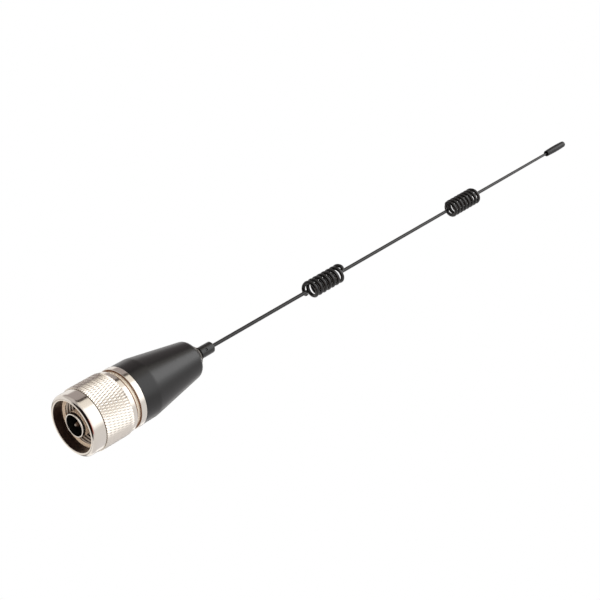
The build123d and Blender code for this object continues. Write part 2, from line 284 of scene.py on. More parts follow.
# Moulded boot: black thermoplastic with a fine spark-eroded grain and a satin sheen.
BOOT_PLASTIC = Finish("moulded_black_plastic", "#0f0e0f", "#0c0b0c", 0.0, 0.3, 0.05, 0.35, 0.012, ior=1.5)
# Grey rim on the boot's end: a painted highlight on the ledge round the washer.
BOOT_HIGHLIGHT = Finish("painted_highlight_black_plastic", "#6a645e", "#55504b", 0.0, 0.5, 0.05, 0.35, 0.012)
# Rubber washer: dull black, which mirrors next to nothing.
WASHER_RUBBER = Finish("black_rubber_washer", "#060606", "#080808", 0.0, 0.7, 0.05, 0.3, 0.006, ior=1.12)
# Whip holder: brass under a glossy black plate.
BLACK_PLATE = Finish("black_plated_brass", "#0b0a0b", "#080808", 0.0, 0.24, 0.04, 0.4, 0.003, ior=1.6)
# Whip: spring steel wire with a thin black coat, drawn smooth.
WIRE_COAT = Finish("black_coated_wire", "#0b0908", "#080706", 0.0, 0.26, 0.05, 0.4, 0.004, ior=1.5)
# Tip cap: soft black rubber with a satin skin.
CAP_RUBBER = Finish("satin_black_rubber", "#0f0f10", "#0c0c0d", 0.0, 0.45, 0.05, 0.3, 0.008, ior=1.45)


def same_ring(vert: bmesh.types.BMVert, corner: Corner) -> bool:
    """Tells whether a vertex lies on the ring that a profile's corner sweeps.

    Args:
        vert: The vertex.
        corner: The profile's corner.

    Returns:
        True if it does.
    """
    off_radius = abs(hypot(vert.co.x, vert.co.y) - corner.radius)
    off_height = abs(vert.co.z - corner.height)
    return off_radius < TOUCH and off_height < TOUCH


def turned(corners: Sequence[Corner], closed: bool = False, steps: int = TURNED_STEPS) -> bmesh.types.BMesh:
    """Turns a profile about the Z axis and rounds its corners.

    Args:
        corners: The profile's corners, in order. An end on the axis closes to a pole.
        closed: True for a ring whose last corner joins the first.
        steps: Facets in a full turn.

    Returns:
        A mesh in millimetres, with its faces outwards.
    """
    mesh = bmesh.new()
    verts = [mesh.verts.new((corner.radius, 0, corner.height)) for corner in corners]
    edges = [mesh.edges.new(pair) for pair in zip(verts, verts[1:])]
    if closed:
        edges.append(mesh.edges.new((verts[-1], verts[0])))
    bmesh.ops.spin(
        mesh,
        geom=verts + edges,
        cent=(0, 0, 0),
        axis=(0, 0, 1),
        dvec=(0, 0, 0),
        angle=2 * pi,
        steps=steps,
        use_merge=True,
    )
    bmesh.ops.remove_doubles(mesh, verts=mesh.verts, dist=TOUCH)
    bmesh.ops.recalc_face_normals(mesh, faces=mesh.faces)
    for corner in corners:
        if corner.rounding:
            ring = [edge for edge in mesh.edges if all(same_ring(vert, corner) for vert in edge.verts)]
            bmesh.ops.bevel(
                mesh,
                geom=ring,
                offset=corner.rounding,
                offset_type="OFFSET",
                segments=corner.segments,
                profile=0.5,
                affect="EDGES",
                material=-1,
            )
    return mesh


def add_piece(
    mesh: bmesh.types.BMesh,
    name: str,
    finish: Finish,
    body: Body,
    replaced: Sequence[str] = (),
) -> bpy.types.Object:
    """Turns a mesh in millimetres into a dressed piece that rides on a body.

    Args:
        mesh: The mesh, which is freed here.
        name: The piece's name.
        finish: The finish it gets.
        body: The body it rides on.
        replaced: CAD nodes that it stands for.

    Returns:
        The new object.
    """
    bmesh.ops.scale(mesh, vec=(MM, MM, MM), verts=mesh.verts)
    data = bpy.data.meshes.new(name)
    mesh.to_mesh(data)
    mesh.free()
    piece = bpy.data.objects.new(name, data)
    bpy.context.scene.collection.objects.link(piece)
    dress(piece, finish, body, replaced)
    data.shade_smooth()
    data.set_sharp_from_angle(angle=SHARP_ANGLE)
    weighted = piece.modifiers.new("even_shading", "WEIGHTED_NORMAL")
    weighted.keep_sharp = True
    return piece


def dress(piece: bpy.types.Object, finish: Finish, body: Body, replaced: Sequence[str]) -> None:
    """Gives a piece its finish and its body, and reports it.

    Args:
        piece: The object to dress.
        finish: The finish it gets.
        body: The body it rides on.
        replaced: CAD nodes that it stands for.
    """
    piece.data.materials.clear()
    piece.data.materials.append(finish.build())
    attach(piece, body.value)
    if replaced:
        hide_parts(*replaced)
    log.info("%s: %d faces, %s", piece.name, len(piece.data.polygons), finish.name)


def paint(
    piece: bpy.types.Object, finish: Finish, inner: float, outer: float, foot: float, top: float
) -> None:
    """Gives a second finish to the faces whose centres lie in a ring-shaped space.

    Args:
        piece: The dressed piece.
        finish: The finish of those faces.
        inner: Least radius of a face's centre, in millimetres.
        outer: Greatest radius.
        foot: Lowest height.
        top: Greatest height.
    """
    piece.data.materials.append(finish.build())
    added = len(piece.data.materials) - 1
    for face in piece.data.polygons:
        place = face.center / MM
        if inner < hypot(place.x, place.y) < outer and foot < place.z < top:
            face.material_index = added
    log.info("%s: %s added", piece.name, finish.name)


@dataclass
class Span:
    """A CAD node's outer radius and its lowest and highest points, in millimetres."""

    node: str
    radius: float = field(init=False)
    foot: float = field(init=False)
    top: float = field(init=False)

    def __post_init__(self) -> None:
        """Reads the node's box from the frame."""
        low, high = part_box(self.node)
        self.radius = max(high.x, high.y) / MM
        self.foot = low.z / MM
        self.top = high.z / MM


@dataclass
class CouplingNut:
    """Knurled nut: a turned shell, a knurled sleeve round it and a thread inside it."""

    span: Span = field(default_factory=lambda: Span("coupling_nut"))
    band_radius: float = 10.1
    knurl_foot: float = 4.8
    knurl_length: float = 10.4
    knurl_depth: float = 0.28
    knurl_columns: int = 70
    knurl_row: float = 1.52
    diamond_wall: float = 0.38
    front_rounding: float = 1.35
    front_segments: int = 10
    rear_rounding: float = 0.25
    mouth_rounding: float = 0.1
    crest_rounding: float = 0.05
    shade_foot: float = 0.3
    shade_reach: float = 9.1
    counterbore_radius: float = 8.5
    counterbore_depth: float = 3.55
    lead_in: float = 0.35
    crest_radius: float = 7.45
    root_radius: float = 7.94
    relief_radius: float = 8.25
    thread_end: float = 10.15
    relief_end: float = 11.25
    bore_radius: float = 7.65
    thread_pitch: float = 1.058
    thread_steps: int = 96
    thread_runout: float = 0.3
    thread_sink: float = 0.05
    thread_gap: float = 0.02
    crest_share: float = 0.125

    @property
    def knurl_top(self) -> float:
        """Height of the knurl's rear end."""
        return self.knurl_foot + self.knurl_length

    def build(self) -> None:
        """Makes the nut's three pieces."""
        self._shell()
        self._knurl()
        self._thread()

    def _shell(self) -> None:
        """Turned shell: two bright bands, a waist under the knurl, and the stepped bore."""
        waist = self.span.radius - 2 * self.knurl_depth
        mesh = turned(
            (
                Corner(self.counterbore_radius, 0, self.mouth_rounding),
                Corner(self.counterbore_radius, self.counterbore_depth),
                Corner(self.crest_radius, self.counterbore_depth + self.lead_in, self.crest_rounding),
                Corner(self.root_radius, self.counterbore_depth + 2 * self.lead_in),
                Corner(self.root_radius, self.thread_end),
                Corner(self.relief_radius, self.thread_end),
                Corner(self.relief_radius, self.relief_end),
                Corner(self.bore_radius, self.relief_end),
                Corner(self.bore_radius, self.span.top, self.mouth_rounding),
                Corner(self.band_radius, self.span.top, self.rear_rounding),
                Corner(self.band_radius, self.knurl_top),
                Corner(waist, self.knurl_top),
                Corner(waist, self.knurl_foot),
                Corner(self.band_radius, self.knurl_foot, self.rear_rounding),
                Corner(self.band_radius, 0, self.front_rounding, self.front_segments),
            ),
            closed=True,
        )
        shell = add_piece(mesh, "nut_shell", NICKEL, Body.NUT, ("coupling_nut",))
        step = self.counterbore_depth
        # Painted shade: dark brown on the counterbore's wall.
        paint(shell, BORE_SHADE, self.relief_radius, self.shade_reach, self.shade_foot, step - CLEAR)
        # Painted reflection: warm cream on the bore's step.
        paint(shell, REFLECTION_PLATE, self.crest_radius, self.counterbore_radius, step, step + self.lead_in)

    def _knurl(self) -> None:
        """Knurled sleeve: steep flat-topped diamonds between crossed grooves."""
        columns = 2 * self.knurl_columns
        floor_radius = self.span.radius - self.knurl_depth
        mesh = bmesh.new()
        row = [mesh.verts.new((floor_radius, 0, self.knurl_foot - self.knurl_row))]
        while row[-1].co.z < self.knurl_top + self.knurl_row:
            lifted = bmesh.ops.extrude_vert_indiv(mesh, verts=[row[-1]])["verts"]
            bmesh.ops.translate(mesh, verts=lifted, vec=(0, 0, self.knurl_row))
            row.append(lifted[0])
        bmesh.ops.spin(
            mesh,
            geom=row + list(mesh.edges),
            cent=(0, 0, 0),
            axis=(0, 0, 1),
            dvec=(0, 0, 0),
            angle=2 * pi,
            steps=columns,
            use_merge=True,
        )
        bmesh.ops.remove_doubles(mesh, verts=mesh.verts, dist=TOUCH)
        bmesh.ops.recalc_face_normals(mesh, faces=mesh.faces)
        crossings = [vert for vert in mesh.verts if self._lattice_sum(vert, columns) % 2 == 0]
        between = [
            vert for vert in mesh.verts if self._lattice_sum(vert, columns) % 2 == 1 and not vert.is_boundary
        ]
        bmesh.ops.connect_verts(mesh, verts=crossings)
        bmesh.ops.dissolve_verts(mesh, verts=between)
        bmesh.ops.inset_individual(
            mesh,
            faces=list(mesh.faces),
            thickness=self.diamond_wall,
            depth=self.knurl_depth,
            use_even_offset=True,
        )
        for height, side in ((self.knurl_foot, -1), (self.knurl_top, 1)):
            bmesh.ops.bisect_plane(
                mesh,
                geom=list(mesh.verts) + list(mesh.edges) + list(mesh.faces),
                dist=TOUCH,
                plane_co=(0, 0, height),
                plane_no=(0, 0, side),
                clear_outer=True,
            )
        rims = [edge for edge in mesh.edges if edge.is_boundary]
        folded = bmesh.ops.extrude_edge_only(mesh, edges=rims)["geom"]
        inner = [item for item in folded if isinstance(item, bmesh.types.BMVert)]
        shrink = (floor_radius - self.knurl_depth) / floor_radius
        bmesh.ops.scale(mesh, vec=(shrink, shrink, 1), verts=inner)
        bmesh.ops.bridge_loops(mesh, edges=[edge for edge in mesh.edges if edge.is_boundary])
        bmesh.ops.recalc_face_normals(mesh, faces=mesh.faces)
        add_piece(mesh, "nut_knurl", NICKEL_KNURLED, Body.NUT)

    def _lattice_sum(self, vert: bmesh.types.BMVert, columns: int) -> int:
        """Adds up a vertex's place in the knurl's lattice.

        Args:
            vert: The vertex.
            columns: Columns in a full turn.

        Returns:
            Column number plus row number: even at a crossing of two grooves.
        """
        column = round(atan2(vert.co.y, vert.co.x) / (2 * pi) * columns)
        row = round((vert.co.z - self.knurl_foot) / self.knurl_row)
        return column + row

    def _thread(self) -> None:
        """Inner thread: one ridge wound up the bore."""
        mesh = bmesh.new()
        foot = self.counterbore_depth + self.lead_in + self.thread_pitch / 2
        turns = (self.thread_end - foot) / self.thread_pitch - self.thread_runout
        sunk = self.root_radius + self.thread_sink
        flat = self.thread_pitch * self.crest_share
        half = self.thread_pitch / 2 - self.thread_gap
        verts = [
            mesh.verts.new((sunk, 0, foot - half)),
            mesh.verts.new((self.crest_radius, 0, foot - flat / 2)),
            mesh.verts.new((self.crest_radius, 0, foot + flat / 2)),
            mesh.verts.new((sunk, 0, foot + half)),
        ]
        edges = [mesh.edges.new(pair) for pair in zip(verts, verts[1:] + verts[:1])]
        steps = round(turns * self.thread_steps)
        bmesh.ops.spin(
            mesh,
            geom=verts + edges,
            cent=(0, 0, 0),
            axis=(0, 0, 1),
            dvec=(0, 0, self.thread_pitch / self.thread_steps),
            angle=2 * pi * steps / self.thread_steps,
            steps=steps,
            use_merge=False,
        )
        bmesh.ops.holes_fill(mesh, edges=[edge for edge in mesh.edges if edge.is_boundary], sides=0)
        bmesh.ops.recalc_face_normals(mesh, faces=mesh.faces)
        # Painted shade: the thread gets the darker copy of the plate.
        add_piece(mesh, "nut_thread", NICKEL_INNER, Body.NUT)


@dataclass
class Plug:
    """The fixed part of the plug: the turned body with its sleeve, and the centre pin."""

    body_span: Span = field(default_factory=lambda: Span("connector_body"))
    pin_span: Span = field(default_factory=lambda: Span("centre_pin"))
    sleeve_radius: float = 4.05
    sleeve_bore: float = 3.5
    sleeve_lip: float = 3.85
    sleeve_taper: float = 0.5
    shaded_from: float = 0.2
    reflection_from: float = 1.0
    reflection_to: float = 3.3
    root_radius: float = 4.4
    root_height: float = 9.95
    barrel_radius: float = 7.55
    barrel_height: float = 10.95
    neck_radius: float = 9.3
    neck_height: float = 17.3
    neck_shade_width: float = 0.4
    collar_height: float = 18.65
    collar_radius: float = 10.1
    collar_top: float = 20.75
    tail_radius: float = 8.5
    tail_bore: float = 6.5
    tail_floor: float = 20.15
    bead_bore: float = 4.17
    bead_step: float = 12.35
    ring_groove: float = 6.65
    groove_foot: float = 13.05
    groove_top: float = 14.05
    bore_rounding: float = 0.1
    lip_rounding: float = 0.08
    root_rounding: float = 0.06
    turned_rounding: float = 0.15
    collar_rounding: float = 0.2
    pin_radius: float = 0.8
    pin_stand_out: float = 0.3
    pin_point: float = 0.35
    pin_point_length: float = 1.3
    pin_point_rounding: float = 0.2
    pin_shank_rounding: float = 0.3
    pin_lit_length: float = 0.6
    pin_body_radius: float = 1.5
    pin_body_height: float = 9.45
    pin_shoulder: float = 2.0
    pin_shoulder_foot: float = 14.65
    pin_shoulder_top: float = 17.35
    pin_cup: float = 1.0

    def build(self) -> None:
        """Makes the body and the pin."""
        self._body()
        self._pin()

    def _body(self) -> None:
        """Turned body: lipped sleeve, barrel, neck with painted reflection and shade, bright collar and the
        tail in the boot.
        """
        foot = self.body_span.foot
        mesh = turned(
            (
                Corner(self.sleeve_bore, foot, self.bore_rounding),
                Corner(self.sleeve_lip, foot, self.lip_rounding),
                Corner(self.sleeve_radius, foot + self.sleeve_taper, self.turned_rounding),
                Corner(self.sleeve_radius, foot + self.reflection_from),
                Corner(self.sleeve_radius, foot + self.reflection_to),
                Corner(self.sleeve_radius, self.root_height),
                Corner(self.root_radius, self.root_height, self.root_rounding),
                Corner(self.root_radius, self.barrel_height),
                Corner(self.barrel_radius, self.barrel_height, self.turned_rounding),
                Corner(self.barrel_radius, self.groove_foot),
                Corner(self.ring_groove, self.groove_foot),
                Corner(self.ring_groove, self.groove_top),
                Corner(self.barrel_radius, self.groove_top),
                Corner(self.barrel_radius, self.neck_height),
                Corner(self.neck_radius, self.neck_height, self.turned_rounding),
                Corner(self.neck_radius, self.neck_height + self.neck_shade_width),
                Corner(self.neck_radius, self.collar_height),
                Corner(self.body_span.radius, self.collar_height, self.collar_rounding),
                Corner(self.body_span.radius, self.collar_top, self.collar_rounding),
                Corner(self.tail_radius, self.collar_top),
                Corner(self.tail_radius, self.body_span.top, self.collar_rounding),
                Corner(self.tail_bore, self.body_span.top),
                Corner(self.tail_bore, self.tail_floor),
                Corner(self.bead_bore, self.tail_floor),
                Corner(self.bead_bore, self.bead_step),
                Corner(self.sleeve_bore, self.bead_step),
            ),
            closed=True,
        )
        body = add_piece(mesh, "plug_body", NICKEL, Body.ANTENNA, ("connector_body",))
        self._paint_sleeve(body, foot)
        self._paint_neck(body)

    def _paint_sleeve(self, body: bpy.types.Object, foot: float) -> None:
        """Paints shade on the sleeve's bore and its front, and a warm painted reflection on the band behind
        that.

        Args:
            body: The turned body.
            foot: Height of the sleeve's end.
        """
        # Painted shade in the sleeve's bore.
        paint(body, SLEEVE_SHADE, 0, self.sleeve_bore + CLEAR, foot + self.shaded_from, self.body_span.top)
        skin = self.sleeve_radius - CLEAR
        taper_top = foot + self.sleeve_taper + CLEAR
        low, high = foot + self.reflection_from, foot + self.reflection_to
        # Painted shade on the sleeve's front behind the lip.
        paint(body, SLEEVE_SHADE, skin, self.root_radius, taper_top, low)
        # Painted reflection: warm cream band behind that.
        paint(body, REFLECTION_PLATE, skin, self.root_radius, low, high)

    def _paint_neck(self, body: bpy.types.Object) -> None:
        """Paints a light reflection on the neck, and brown shade in its front corner and on the collar's
        front.

        Args:
            body: The turned body.
        """
        skin = self.neck_radius - self.collar_rounding
        shade_top = self.neck_height + self.neck_shade_width
        low, high = self.collar_height - CLEAR, self.collar_height + CLEAR
        # Painted reflection on the neck's side.
        paint(body, NECK_REFLECTION, skin, self.collar_radius, shade_top, low)
        # Painted shade in the neck's front corner and on the collar's front.
        paint(body, NECK_SHADE, skin, self.collar_radius, self.neck_height, shade_top)
        paint(body, NECK_SHADE, self.neck_radius, self.body_span.radius - self.collar_rounding, low, high)

    def _pin(self) -> None:
        """Centre pin: blunt point, shank, thicker body, shoulder and solder cup."""
        tip = self.pin_span.foot - self.pin_stand_out
        mesh = turned(
            (
                Corner(0, tip),
                Corner(self.pin_point, tip, self.pin_point_rounding),
                Corner(self.pin_radius, tip + self.pin_point_length, self.pin_shank_rounding),
                Corner(self.pin_radius, self.pin_body_height),
                Corner(self.pin_body_radius, self.pin_body_height, self.lip_rounding),
                Corner(self.pin_body_radius, self.pin_shoulder_foot),
                Corner(self.pin_shoulder, self.pin_shoulder_foot),
                Corner(self.pin_shoulder, self.pin_shoulder_top),
                Corner(self.pin_cup, self.pin_shoulder_top),
                Corner(self.pin_cup, self.pin_span.top, self.lip_rounding),
                Corner(0, self.pin_span.top),
            ),
            steps=SMALL_STEPS,
        )
        # Painted shade: the shank's darker brown plate.
        pin = add_piece(mesh, "pin_contact", CONTACT, Body.ANTENNA, ("centre_pin",))
        # Painted highlight: the lighter plate on the point.
        paint(pin, CONTACT_POINT, 0, self.pin_radius, 0, tip + self.pin_lit_length)


@dataclass
class BootEnd:
    """The moulded boot, the rubber washer and the whip holder on its end."""

    boot_span: Span = field(default_factory=lambda: Span("boot"))
    washer_span: Span = field(default_factory=lambda: Span("holder_washer"))
    holder_span: Span = field(default_factory=lambda: Span("whip_holder"))
    boot_bore: float = 8.6
    crease_radius: float = 9.95
    crease_height: float = 26.75
    crease_rounding: float = 0.5
    shoulder_radius: float = 6.32
    shoulder_drop: float = 2.85
    shoulder_rounding: float = 0.7
    shoulder_segments: int = 6
    ledge_radius: float = 3.45
    ledge_drop: float = 0.35
    ledge_rounding: float = 0.12
    stud_hole: float = 1.52
    end_wall: float = 1.1
    foot_rounding: float = 0.3
    holder_radius: float = 1.96
    holder_draft: float = 0.02
    washer_radius: float = 2.3
    washer_rounding: float = 0.24
    washer_lip: float = 1.0
    holder_chamfer: float = 0.5
    edge_rounding: float = 0.1
    chamfer_rounding: float = 0.08
    wire_hole: float = 0.65
    wire_hole_depth: float = 2.0
    wire_hole_rounding: float = 0.05
    dimple_radius: float = 0.45
    dimple_depth: float = 0.25
    dimple_share: float = 0.46
    dimple_edge: float = 0.12
    holder_steps: int = 64

    def build(self) -> None:
        """Makes the boot, the washer and the holder."""
        self._boot()
        self._washer()
        self._holder()

    def _boot(self) -> None:
        """Boot: straight foot, faint crease, long taper, sloped shoulder and a ledge round the washer."""
        foot, top = self.boot_span.foot, self.boot_span.top
        mesh = turned(
            (
                Corner(self.boot_bore, foot),
                Corner(self.boot_span.radius, foot, self.foot_rounding, SMOOTH_SEGMENTS),
                Corner(self.crease_radius, self.crease_height, self.crease_rounding),
                Corner(
                    self.shoulder_radius,
                    top - self.shoulder_drop,
                    self.shoulder_rounding,
                    self.shoulder_segments,
                ),
                Corner(self.ledge_radius, top - self.ledge_drop, self.ledge_rounding),
                Corner(self.ledge_radius, top, self.ledge_rounding),
                Corner(self.stud_hole, top, self.edge_rounding),
                Corner(self.stud_hole, top - self.end_wall),
                Corner(self.boot_bore, self.crease_height),
            ),
            closed=True,
        )
        shell = add_piece(mesh, "boot_shell", BOOT_PLASTIC, Body.ANTENNA, ("boot",))
        rim_foot = top - self.ledge_drop - 2 * CLEAR
        # Painted highlight: grey on the ledge round the washer.
        paint(shell, BOOT_HIGHLIGHT, self.washer_radius, self.shoulder_radius, rim_foot, top + CLEAR)

    def _washer(self) -> None:
        """Washer: a squeezed rubber ring with rounded rims, which reaches up round the holder's foot."""
        foot, top = self.washer_span.foot, self.washer_span.top + self.washer_lip
        mesh = turned(
            (
                Corner(self.stud_hole, foot),
                Corner(self.washer_radius, foot, self.washer_rounding, SMOOTH_SEGMENTS),
                Corner(self.washer_radius, top, self.washer_rounding, SMOOTH_SEGMENTS),
                Corner(self.stud_hole, top),
            ),
            closed=True,
            steps=self.holder_steps,
        )
        add_piece(mesh, "washer_ring", WASHER_RUBBER, Body.ANTENNA, ("holder_washer",))

    def _holder(self) -> None:
        """Holder: a plated sleeve with a chamfered end and a crimp dimple on its front."""
        foot, top = self.washer_span.top, self.holder_span.top
        radius = self.holder_radius
        dimple_height = foot + self.dimple_share * (top - foot)
        mesh = turned(
            (
                Corner(0, foot),
                Corner(radius, foot, self.edge_rounding),
                Corner(radius, dimple_height - self.dimple_radius),
                Corner(radius, dimple_height + self.dimple_radius),
                Corner(radius - self.holder_draft, top - self.holder_chamfer, self.chamfer_rounding),
                Corner(radius - self.holder_chamfer, top, self.chamfer_rounding),
                Corner(self.wire_hole, top, self.wire_hole_rounding),
                Corner(self.wire_hole, top - self.wire_hole_depth),
                Corner(0, top - self.wire_hole_depth),
            ),
            steps=self.holder_steps,
        )
        bmesh.ops.inset_region(
            mesh,
            faces=[face for face in mesh.faces if self._in_dimple(face.calc_center_median(), dimple_height)],
            thickness=self.dimple_edge,
            depth=-self.dimple_depth,
            use_even_offset=True,
        )
        add_piece(mesh, "holder_sleeve", BLACK_PLATE, Body.ANTENNA, ("whip_holder",))

    def _in_dimple(self, middle: Vector, height: float) -> bool:
        """Tells whether a face of the holder belongs to the crimp dimple on its front.

        Args:
            middle: The face's middle.
            height: Height of the dimple's middle.

        Returns:
            True if it does.
        """
        near_height = abs(middle.z - height) < self.dimple_radius / 2
        near_front = middle.y < 0 and abs(middle.x) < self.dimple_radius
        return near_height and near_front and hypot(middle.x, middle.y) > self.holder_radius / 2


@dataclass
class Coil:
    """One phasing coil wound into the whip's wire."""

    foot: float
    length: float
    turns: float
    azimuth: float
    wire: float


@dataclass
class Whip:
    """The wire with its two coils, and the cap on its tip."""

    wire_span: Span = field(default_factory=lambda: Span("whip"))
    cap_span: Span = field(default_factory=lambda: Span("tip_cap"))
    coils: tuple[Coil, ...] = (
        Coil(104.7, 16.5, 7.5, 70, 1.28),
        Coil(184.7, 16.2, 7.83, 180, 1.22),
    )
    coil_diameter: float = 6.6
    corners_per_turn: int = 6
    lead: float = 3.0
    tip_wire: float = 1.05
    wire_sides: int = 5
    run_resolution: int = 6
    cap_end_radius: float = 1.18
    cap_bore: float = 0.58
    cap_bore_depth: float = 4.0
    cap_radius: float = 1.36
    cap_mouth_sink: float = 0.6
    cap_mouth_flare: float = 0.3
    cap_mouth_rounding: float = 0.1
    cap_lip_rounding: float = 0.05
    cap_foot_rounding: float = 0.2
    cap_bulge_share: float = 0.75
    cap_bulge_rounding: float = 1.5
    cap_end_rounding: float = 0.8
    cap_end_segments: int = 8

    def build(self) -> None:
        """Makes the wire and the cap."""
        self._wire()
        self._cap()

    def _route(self) -> list[tuple[Vector, float]]:
        """Control points of the wire's line, each with the wire's diameter there.

        Returns:
            Points from the foot to the tip, in millimetres.
        """
        first, last = self.coils[0], self.coils[-1]
        route = [(Vector((0, 0, self.wire_span.foot)), first.wire)]
        for coil in self.coils:
            steps = round(coil.turns * self.corners_per_turn)
            reach = (self.coil_diameter - coil.wire) / 2 / cos(pi / self.corners_per_turn)
            route.append((Vector((0, 0, coil.foot - self.lead)), coil.wire))
            route.append((Vector((0, 0, coil.foot)), coil.wire))
            for step in range(steps + 1):
                angle = radians(coil.azimuth) + 2 * pi * step / self.corners_per_turn
                height = coil.foot + coil.length * step / steps
                route.append((Vector((reach * cos(angle), reach * sin(angle), height)), coil.wire))
            route.append((Vector((0, 0, coil.foot + coil.length)), coil.wire))
            route.append((Vector((0, 0, coil.foot + coil.length + self.lead)), coil.wire))
        route.append((Vector((0, 0, self.cap_span.foot)), self.tip_wire))
        route.append((Vector((0, 0, self.wire_span.top)), self.tip_wire))
        log.info("wire route: %d points, %.2f to %.2f mm thick", len(route), first.wire, last.wire)
        return route

    def _wire(self) -> None:
        """Wire: one smooth line through both coils, thick at the foot and thin at the tip."""
        route = self._route()
        line = bpy.data.curves.new("wire_line", "CURVE")
        line.dimensions = "3D"
        line.bevel_depth = MM / 2
        line.bevel_resolution = self.wire_sides
        line.resolution_u = self.run_resolution
        line.use_fill_caps = True
        spline = line.splines.new("NURBS")
        spline.points.add(len(route) - 1)
        for point, (place, diameter) in zip(spline.points, route):
            point.co = (*(place * MM), 1)
            point.radius = diameter
        spline.order_u = 3
        spline.use_endpoint_u = True
        holder = bpy.data.objects.new("wire_line", line)
        bpy.context.scene.collection.objects.link(holder)
        graph = bpy.context.evaluated_depsgraph_get()
        data = bpy.data.meshes.new_from_object(holder.evaluated_get(graph))
        data.name = "whip_wire"
        bpy.data.objects.remove(holder)
        piece = bpy.data.objects.new("whip_wire", data)
        bpy.context.scene.collection.objects.link(piece)
        data.shade_smooth()
        data.set_sharp_from_angle(angle=SHARP_ANGLE)
        dress(piece, WIRE_COAT, Body.ANTENNA, ("whip",))

    def _cap(self) -> None:
        """Cap: slightly barrel-shaped, with a rounded end and a sunk mouth."""
        foot, top = self.cap_span.foot, self.cap_span.top
        quarter = (top - foot) / 4
        shoulder = self.cap_end_radius + self.cap_bulge_share * (self.cap_radius - self.cap_end_radius)
        soft = (self.cap_bulge_rounding, SMOOTH_SEGMENTS)
        mesh = turned(
            (
                Corner(self.cap_bore, foot + self.cap_bore_depth),
                Corner(self.cap_bore, foot + self.cap_mouth_sink, self.cap_mouth_rounding),
                Corner(self.cap_bore + self.cap_mouth_flare, foot, self.cap_lip_rounding),
                Corner(self.cap_end_radius, foot, self.cap_foot_rounding, SMOOTH_SEGMENTS),
                Corner(shoulder, foot + quarter, *soft),
                Corner(self.cap_radius, foot + 2 * quarter, *soft),
                Corner(shoulder, foot + 3 * quarter, *soft),
                Corner(self.cap_end_radius, top, self.cap_end_rounding, self.cap_end_segments),
                Corner(0, top),
            ),
            steps=SMALL_STEPS,
        )
        add_piece(mesh, "cap_skin", CAP_RUBBER, Body.ANTENNA, ("tip_cap",))


@dataclass
class InnerParts:
    """The CAD nodes: those that show as they are, and those that lie under a dressed piece."""

    finishes: dict[str, Finish] = field(
        default_factory=lambda: {
            "snap_ring": BRONZE,
            "face_gasket": SILICONE,
            "insulator": FLUOROPOLYMER,
            "insulator_bush": BRASS,
            "feed_rod": BRASS,
            "boot_insert": BRASS,
        }
    )
    under_pieces: dict[str, Finish] = field(
        default_factory=lambda: {
            "coupling_nut": NICKEL,
            "connector_body": NICKEL,
            "centre_pin": CONTACT,
            "boot": BOOT_PLASTIC,
            "holder_washer": WASHER_RUBBER,
            "whip_holder": BLACK_PLATE,
            "whip": WIRE_COAT,
            "tip_cap": CAP_RUBBER,
        }
    )

    def build(self) -> None:
        """Gives every CAD node its finish, the shown and the hidden ones."""
        for name, finish in (self.finishes | self.under_pieces).items():
            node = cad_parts[name]
            node.data.materials.clear()
            node.data.materials.append(finish.build())
            log.info("%s: %s", name, finish.name)


class Patch(NamedTuple):
    """A coloured part of the room: its middle, half widths and soft edge in degrees, colour and strength."""

    azimuth: float
    half_width: float
    elevation: float
    half_height: float
    softness: float
    colour: str
    strength: float = 1.0


